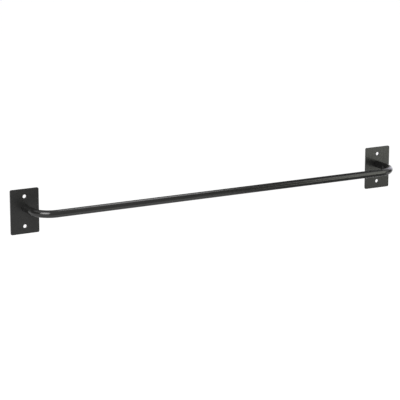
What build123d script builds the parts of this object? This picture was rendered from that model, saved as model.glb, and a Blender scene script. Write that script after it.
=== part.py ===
from build123d import *
import os

# Wall-mounted towel rail: one bent round bar, set into two drilled wall plates and welded
# from behind. Millimetres. X runs along the bar, Y points into the wall and Z is up. The origin
# lies on the wall, midway between the plates and at their mid-height.

# Driving dimensions
plate_spacing = 545.0        # between the centre lines of the two plates
plate_width = 40.0
plate_height = 60.0
plate_thickness = 2.0
plate_corner_radius = 2.0
plate_edge_round = 0.4       # eased outer edge of the front face
screw_hole_diameter = 5.0
screw_hole_break = 0.3       # chamfer that takes the burr off the front of each hole
screw_hole_spacing = 40.0    # between the two holes of one plate, up the plate
bar_diameter = 10.0
bar_standoff = 50.0          # from the wall to the axis of the bar
bar_rise = 5.0               # axis of the bar above the plates' mid-height
bend_radius = 25.0           # centre line of each bend
weld_groove = 1.0            # width and depth of the weld round each end of the bar, on the wall side

# Places that follow from them
half_spacing = plate_spacing / 2
bar_radius = bar_diameter / 2
bar_y = -bar_standoff
bar_level = Plane.XY.offset(bar_rise)
sides = {"left": -half_spacing, "right": half_spacing}


def wall_plate(centre_x):
    """A flat plate with rounded corners, two screw holes and a bore for the bar, grooved for its weld."""
    back = Plane(origin=(centre_x, 0, 0), x_dir=(1, 0, 0), z_dir=(0, -1, 0))
    bar_end = Plane(origin=(centre_x, 0, bar_rise), x_dir=(1, 0, 0), z_dir=(0, 1, 0))
    with BuildPart() as plate:
        with BuildSketch(back):
            RectangleRounded(plate_width, plate_height, plate_corner_radius)
            with GridLocations(0, screw_hole_spacing, 1, 2):
                Circle(screw_hole_diameter / 2, mode=Mode.SUBTRACT)
        extrude(amount=plate_thickness)
        front = plate.faces().sort_by(Axis.Y)[0]
        chamfer(front.inner_wires().edges(), screw_hole_break)
        front = plate.faces().sort_by(Axis.Y)[0]
        fillet(front.outer_wire().edges(), plate_edge_round)
        with Locations(bar_end):
            CounterSinkHole(bar_radius, bar_radius + weld_groove, plate_thickness, counter_sink_angle=90)
    return plate


def bent_bar():
    """The round bar: a leg out through each plate, a bend, and the straight rail."""
    with BuildPart() as bar:
        with BuildLine(bar_level) as route:
            FilletPolyline(
                (-half_spacing, 0),
                (-half_spacing, bar_y),
                (half_spacing, bar_y),
                (half_spacing, 0),
                radius=bend_radius,
            )
        with BuildSketch(Plane(origin=route.line @ 0, z_dir=route.line % 0)):
            Circle(bar_radius)
        sweep()
    return bar


def foot_weld(centre_x):
    """The ring of weld that fills the groove round an end of the bar, ground flush with the wall side."""
    inner_x = centre_x + bar_radius
    leg_axis = Axis((centre_x, 0, bar_rise), (0, 1, 0))
    with BuildPart() as weld:
        with BuildSketch(bar_level):
            with BuildLine():
                Polyline((inner_x, 0), (inner_x, -weld_groove), (inner_x + weld_groove, 0), close=True)
            make_face()
        revolve(axis=leg_axis)
    return weld


os.makedirs("parts", exist_ok=True)

rail = bent_bar()
rail.part.label = "rail"
export_step(rail.part, "parts/rail.step")

for side, centre_x in sides.items():
    plate = wall_plate(centre_x)
    plate.part.label = f"{side}_wall_plate"
    export_step(plate.part, f"parts/{side}_wall_plate.step")

    weld = foot_weld(centre_x)
    weld.part.label = f"{side}_weld"
    export_step(weld.part, f"parts/{side}_weld.step")
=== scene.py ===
"""Looks for the towel rail: satin black coat, a white studio, and a camera at the photo's viewing angle."""
import math

import bpy
from mathutils import Matrix, Vector

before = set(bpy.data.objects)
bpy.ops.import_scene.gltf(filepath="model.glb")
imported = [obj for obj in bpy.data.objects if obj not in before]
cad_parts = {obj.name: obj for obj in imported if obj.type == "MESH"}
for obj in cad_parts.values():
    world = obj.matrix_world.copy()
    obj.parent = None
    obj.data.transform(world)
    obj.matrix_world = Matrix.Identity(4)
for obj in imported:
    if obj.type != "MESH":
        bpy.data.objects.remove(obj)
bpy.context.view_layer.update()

# Lengths are in metres. X runs along the bar, Y points into the wall and Z is up. The origin lies on
# the wall, midway between the plates and at their mid-height.
MM = 0.001
WHITE = (1.0, 1.0, 1.0, 1.0)


def link(obj):
    bpy.context.scene.collection.objects.link(obj)
    return obj


def new_material(name):
    """An empty node material with its output node."""
    material = bpy.data.materials.new(name)
    material.use_nodes = True
    material.node_tree.nodes.clear()
    output = material.node_tree.nodes.new("ShaderNodeOutputMaterial")
    return material, material.node_tree, output


# Black coat

COAT_DARK = (0.0094, 0.0094, 0.0091, 1.0)
COAT_LIGHT = (0.0134, 0.0134, 0.0129, 1.0)
COAT_MEAN = tuple((dark + light) / 2 for dark, light in zip(COAT_DARK, COAT_LIGHT))
COAT_SPECULAR = 0.50
BAR_ROUGHNESS = (0.15, 0.20)         # smoothest and roughest spots
PLATE_ROUGHNESS = (0.27, 0.33)
CLOUD_SCALE = 60.0                   # noise features to a metre: the cloudy tone,
GRAIN_SCALE = 420.0                  # the uneven gloss
PEEL_SCALE = 900.0                   # and the orange-peel skin
GRAIN_SPAN = (0.3, 0.7)              # part of the noise's range that the gloss follows
PEEL_STRENGTH = 0.06
PEEL_DEPTH = 0.10 * MM


def noise(tree, coords, scale, detail):
    node = tree.nodes.new("ShaderNodeTexNoise")
    node.inputs["Scale"].default_value = scale
    node.inputs["Detail"].default_value = detail
    tree.links.new(coords.outputs["Object"], node.inputs["Vector"])
    return node


def cloudy_tone(tree, coords, shader):
    clouds = noise(tree, coords, CLOUD_SCALE, detail=3.0)
    tone = tree.nodes.new("ShaderNodeMix")
    tone.data_type = "RGBA"
    tone.inputs["A"].default_value = COAT_DARK
    tone.inputs["B"].default_value = COAT_LIGHT
    tree.links.new(clouds.outputs["Fac"], tone.inputs["Factor"])
    tree.links.new(tone.outputs["Result"], shader.inputs["Base Color"])


def uneven_gloss(tree, coords, shader, roughness):
    grain = noise(tree, coords, GRAIN_SCALE, detail=2.0)
    gloss = tree.nodes.new("ShaderNodeMapRange")
    gloss.inputs["From Min"].default_value = GRAIN_SPAN[0]
    gloss.inputs["From Max"].default_value = GRAIN_SPAN[1]
    gloss.inputs["To Min"].default_value = roughness[0]
    gloss.inputs["To Max"].default_value = roughness[1]
    tree.links.new(grain.outputs["Fac"], gloss.inputs["Value"])
    tree.links.new(gloss.outputs["Result"], shader.inputs["Roughness"])


def orange_peel(tree, coords, shader):
    peel = noise(tree, coords, PEEL_SCALE, detail=1.0)
    bump = tree.nodes.new("ShaderNodeBump")
    bump.inputs["Strength"].default_value = PEEL_STRENGTH
    bump.inputs["Distance"].default_value = PEEL_DEPTH
    tree.links.new(peel.outputs["Fac"], bump.inputs["Height"])
    tree.links.new(bump.outputs["Normal"], shader.inputs["Normal"])


def black_coat(name, roughness):
    """Satin black powder coat: faint cloudy tone, uneven gloss and a fine orange-peel skin."""
    material, tree, output = new_material(name)
    material.diffuse_color = COAT_MEAN      # plain look, where the nodes aren't followed
    material.roughness = sum(roughness) / 2
    coords = tree.nodes.new("ShaderNodeTexCoord")
    shader = tree.nodes.new("ShaderNodeBsdfPrincipled")
    shader.inputs["Specular IOR Level"].default_value = COAT_SPECULAR
    tree.links.new(shader.outputs["BSDF"], output.inputs["Surface"])
    cloudy_tone(tree, coords, shader)
    uneven_gloss(tree, coords, shader, roughness)
    orange_peel(tree, coords, shader)
    return material


def coat_pieces():
    """The bar is smoother than the plates and their welds."""
    bar_coat = black_coat("bar_coat", BAR_ROUGHNESS)
    plate_coat = black_coat("plate_coat", PLATE_ROUGHNESS)
    for name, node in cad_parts.items():
        node.data.materials.clear()
        node.data.materials.append(bar_coat if name == "rail" else plate_coat)


# Floor and surroundings

FLOOR_DROP = 0.60            # floor below the middle of the plates
FLOOR_RADIUS = 14.0
FLOOR_SIDES = 96
FLOOR_COLOUR = (0.60, 0.60, 0.60, 1.0)
FLOOR_GLOW = 0.75            # light of its own, only where the floor is seen
WORLD_LIGHT = 0.42           # even light from all round
WORLD_SEEN = 1.0             # white, where the surroundings are seen


def seen_ray(tree):
    """1 for rays from the camera, and for mirrored or passed-on ones."""
    path = tree.nodes.new("ShaderNodeLightPath")
    total = path.outputs["Is Camera Ray"]
    for name in ("Is Glossy Ray", "Is Transmission Ray"):
        larger = tree.nodes.new("ShaderNodeMath")
        larger.operation = "MAXIMUM"
        tree.links.new(total, larger.inputs[0])
        tree.links.new(path.outputs[name], larger.inputs[1])
        total = larger.outputs["Value"]
    return total


def pale_floor():
    """White paper: lit by the lamps, with some light of its own where it is seen."""
    material, tree, output = new_material("pale_floor")
    paper = tree.nodes.new("ShaderNodeBsdfDiffuse")
    paper.inputs["Color"].default_value = FLOOR_COLOUR
    glow = tree.nodes.new("ShaderNodeEmission")
    glow.inputs["Color"].default_value = WHITE
    strength = tree.nodes.new("ShaderNodeMath")
    strength.operation = "MULTIPLY"
    strength.inputs[1].default_value = FLOOR_GLOW
    tree.links.new(seen_ray(tree), strength.inputs[0])
    tree.links.new(strength.outputs["Value"], glow.inputs["Strength"])
    both = tree.nodes.new("ShaderNodeAddShader")
    tree.links.new(paper.outputs["BSDF"], both.inputs[0])
    tree.links.new(glow.outputs["Emission"], both.inputs[1])
    tree.links.new(both.outputs["Shader"], output.inputs["Surface"])
    return material


def floor():
    angles = [2 * math.pi * i / FLOOR_SIDES for i in range(FLOOR_SIDES)]
    rim = [(FLOOR_RADIUS * math.cos(angle), FLOOR_RADIUS * math.sin(angle), 0.0) for angle in angles]
    mesh = bpy.data.meshes.new("floor")
    mesh.from_pydata(rim, [], [list(range(FLOOR_SIDES))])
    mesh.materials.append(pale_floor())
    obj = link(bpy.data.objects.new("floor", mesh))
    obj.location.z = -FLOOR_DROP


def surroundings():
    """White where they are seen, and an even soft light on the object."""
    world = bpy.data.worlds.new("studio")
    bpy.context.scene.world = world
    world.use_nodes = True
    tree = world.node_tree
    tree.nodes.clear()
    output = tree.nodes.new("ShaderNodeOutputWorld")
    background = tree.nodes.new("ShaderNodeBackground")
    background.inputs["Color"].default_value = WHITE
    strength = tree.nodes.new("ShaderNodeMapRange")
    strength.inputs["To Min"].default_value = WORLD_LIGHT
    strength.inputs["To Max"].default_value = WORLD_SEEN
    tree.links.new(seen_ray(tree), strength.inputs["Value"])
    tree.links.new(strength.outputs["Result"], background.inputs["Strength"])
    tree.links.new(background.outputs["Background"], output.inputs["Surface"])


# Lamps: soft boxes

PLAIN_LIGHT = (1.0, 1.0, 1.0)
GREENISH_LIGHT = (0.98, 1.0, 0.90)
VIOLET_LIGHT = (0.94, 0.91, 1.14)
AREA_SHARE = {"RECTANGLE": 1.0, "ELLIPSE": math.pi / 4}      # of width times height


def soft_box(name, place, aim, width, height, radiance, colour=PLAIN_LIGHT, shape="RECTANGLE"):
    """A soft box that looks as bright as the radiance says."""
    lamp = bpy.data.lights.new(name, "AREA")
    lamp.shape = shape
    lamp.size = width
    lamp.size_y = height
    lamp.color = colour
    lamp.energy = radiance * math.pi * width * height * AREA_SHARE[shape]
    obj = link(bpy.data.objects.new(name, lamp))
    obj.location = place
    obj.rotation_euler = (Vector(aim) - Vector(place)).to_track_quat("-Z", "Y").to_euler()
    obj.visible_camera = False


def lamps():
    # Main light, near the left end: makes the highlight on the left bend
    soft_box(
        "key_left", place=(-0.644, -0.382, 0.378), aim=(-0.26, -0.03, 0.0),
        width=0.52, height=0.54, radiance=7.3, shape="ELLIPSE",
    )
    # Overhead, past the right end, shining straight down
    soft_box(
        "overhead", place=(0.48, 0.25, 1.25), aim=(0.48, 0.25, 0.0),
        width=0.36, height=0.90, radiance=3.3,
    )
    # Tall box in the room: makes the light band on the bar's right half and lifts the right plate
    soft_box(
        "front_right", place=(1.305, -1.22, 0.20), aim=(1.305, -0.05, -0.20),
        width=0.87, height=2.00, radiance=2.95, colour=GREENISH_LIGHT,
    )
    # To the right and behind the wall's plane: makes the light rim on the right bend
    soft_box(
        "rim_right", place=(1.50, 0.62, 0.45), aim=(0.27, 0.0, 0.0),
        width=0.90, height=0.90, radiance=1.2, colour=VIOLET_LIGHT,
    )


# Cards: glowing grey sheets that only the gloss sees, painted reflections in front of parts of the white
# surroundings

CARD_GAP = 0.01              # between two cards, one of which covers part of the other
FRONT_Y = -1.28              # boards in the room
BLACK_Y = -1.70              # the one behind the right soft box
SCREEN_Y = -0.50             # low screen in front of the bar's right half
BACK_Y = 0.95                # boards behind the wall's plane
LEFT_X = -1.60
END_X = 1.95
TOP_Z = 1.28
LOW_Z = -0.55


def card_glow(name, shade):
    material, tree, output = new_material(name)
    # A fixed glow, seen only in reflections: a painted reflection, not a lamp
    painted_glow = tree.nodes.new("ShaderNodeEmission")
    painted_glow.inputs["Color"].default_value = (shade, shade, shade, 1.0)
    tree.links.new(painted_glow.outputs["Emission"], output.inputs["Surface"])
    return material


def card(name, corners, shade):
    mesh = bpy.data.meshes.new(name)
    mesh.from_pydata(corners, [], [(0, 1, 2, 3)])
    mesh.materials.append(card_glow(name, shade))
    obj = link(bpy.data.objects.new(name, mesh))
    obj.visible_camera = False
    obj.visible_diffuse = False
    obj.visible_shadow = False


def upright_card(name, y, left, right, low, high, shade):
    card(name, [(left, y, low), (right, y, low), (right, y, high), (left, y, high)], shade)


def level_card(name, z, left, right, near, far, shade):
    card(name, [(left, near, z), (right, near, z), (right, far, z), (left, far, z)], shade)


def side_card(name, x, near, far, low, high, shade):
    card(name, [(x, near, low), (x, far, low), (x, far, high), (x, near, high)], shade)


def front_cards():
    """Painted reflections from glowing sheets: a grey wall mirrored by the left plate and the bar's left
    half, and black behind the right box.
    """
    skirt_top = -0.33
    upright_card("front_card", y=FRONT_Y, left=-0.90, right=0.71, low=skirt_top, high=1.30, shade=0.54)
    upright_card("skirt_card", y=FRONT_Y, left=-0.70, right=0.34, low=-0.48, high=skirt_top, shade=0.20)
    upright_card("edge_card", y=BLACK_Y, left=0.56, right=2.60, low=LOW_Z, high=1.80, shade=0.02)


def screen_cards():
    """A low glowing screen, seen only in reflections: a painted reflection which darkens the underside of
    the bar's right half.
    """
    step = -0.30
    upright_card("low_card", y=SCREEN_Y, left=0.36, right=0.90, low=LOW_Z, high=step, shade=0.30)
    upright_card("rest_card", y=SCREEN_Y, left=0.27, right=0.90, low=step, high=-0.15, shade=0.30)


def back_cards():
    """Glowing cards behind the wall's plane, seen only in reflections: painted reflections, dark for the
    bar's top and the legs, with a lighter step at the left and sill at the right.
    """
    turn = 0.45
    sill_top = 0.55
    step_y = BACK_Y - CARD_GAP
    upright_card("back_card", y=BACK_Y, left=LEFT_X, right=turn, low=0.0, high=TOP_Z, shade=0.06)
    upright_card("step_card", y=step_y, left=LEFT_X, right=-0.53, low=0.0, high=0.45, shade=0.45)
    upright_card("ridge_card", y=BACK_Y, left=turn, right=1.20, low=sill_top, high=TOP_Z, shade=0.06)
    upright_card("sill_card", y=BACK_Y, left=turn, right=1.20, low=0.0, high=sill_top, shade=0.70)


def side_cards():
    """Painted reflections from glowing cards, dark at both ends. The right one keeps the bar dark where it
    is seen along its length.
    """
    side_card("left_card", x=LEFT_X, near=-0.40, far=BACK_Y, low=0.0, high=TOP_Z, shade=0.10)
    side_card("end_card", x=END_X, near=-0.60, far=0.50, low=-0.50, high=0.50, shade=0.15)


def top_cards():
    """Glowing cards above, seen only in reflections: a painted grey lid over the rail, and past its right
    end painted dark boards and a light strip for the right half.
    """
    lid_right = 0.70
    visor_right = 0.86
    visor_near = -1.20
    visor_far = -0.10
    brow_z = TOP_Z - CARD_GAP
    level_card("top_card", z=TOP_Z, left=lid_right, right=1.22, near=visor_far, far=1.00, shade=0.08)
    level_card(
        "visor_card", z=TOP_Z, left=lid_right, right=visor_right, near=visor_near, far=visor_far, shade=0.12,
    )
    level_card("lid_card", z=TOP_Z, left=-0.95, right=lid_right, near=FRONT_Y, far=0.70, shade=0.55)
    level_card(
        "brow_card", z=brow_z, left=visor_right, right=1.05, near=visor_near, far=visor_far, shade=0.60,
    )


def low_cards():
    """Just above the floor, glowing cards seen only in reflections: a painted dark card past the right end,
    and a painted light one under the rail.
    """
    split = 0.36
    far = 0.60
    under_z = LOW_Z - CARD_GAP
    level_card("floor_card", z=LOW_Z, left=split, right=1.00, near=SCREEN_Y, far=far, shade=0.30)
    level_card("under_card", z=under_z, left=-0.90, right=split, near=-0.38, far=far, shade=0.80)


def cards():
    front_cards()
    screen_cards()
    back_cards()
    side_cards()
    top_cards()
    low_cards()


# Camera, worked out from the corners of the plates and the outlines of the bar and its legs in the photo

PHOTO_WIDTH = 400.0          # pixels
FOCAL_PIXELS = 1819.1
CAMERA_PLACE = Vector((-1.1412, -2.1315, 0.5901))
CAMERA_TURN = math.radians(27.868)      # to the right of the wall's normal
CAMERA_DIP = math.radians(14.094)       # below the horizontal
CAMERA_ROLL = math.radians(0.042)
SENSOR_WIDTH = 36.0          # millimetres, as Blender gives it


def camera():
    forward = Vector((
        math.cos(CAMERA_DIP) * math.sin(CAMERA_TURN),
        math.cos(CAMERA_DIP) * math.cos(CAMERA_TURN),
        -math.sin(CAMERA_DIP),
    ))
    level = Vector((math.cos(CAMERA_TURN), -math.sin(CAMERA_TURN), 0.0))
    upright = level.cross(forward)
    right = level * math.cos(CAMERA_ROLL) + upright * math.sin(CAMERA_ROLL)
    up = upright * math.cos(CAMERA_ROLL) - level * math.sin(CAMERA_ROLL)
    lens = bpy.data.cameras.new("camera")
    lens.sensor_width = SENSOR_WIDTH
    lens.lens = FOCAL_PIXELS / PHOTO_WIDTH * SENSOR_WIDTH
    lens.dof.use_dof = False
    obj = link(bpy.data.objects.new("camera", lens))
    turn = Matrix((right, up, -forward)).transposed().to_4x4()
    obj.matrix_world = Matrix.Translation(CAMERA_PLACE) @ turn
    bpy.context.scene.camera = obj


coat_pieces()
floor()
surroundings()
lamps()
cards()
camera()
bpy.context.scene.view_settings.view_transform = "Standard"
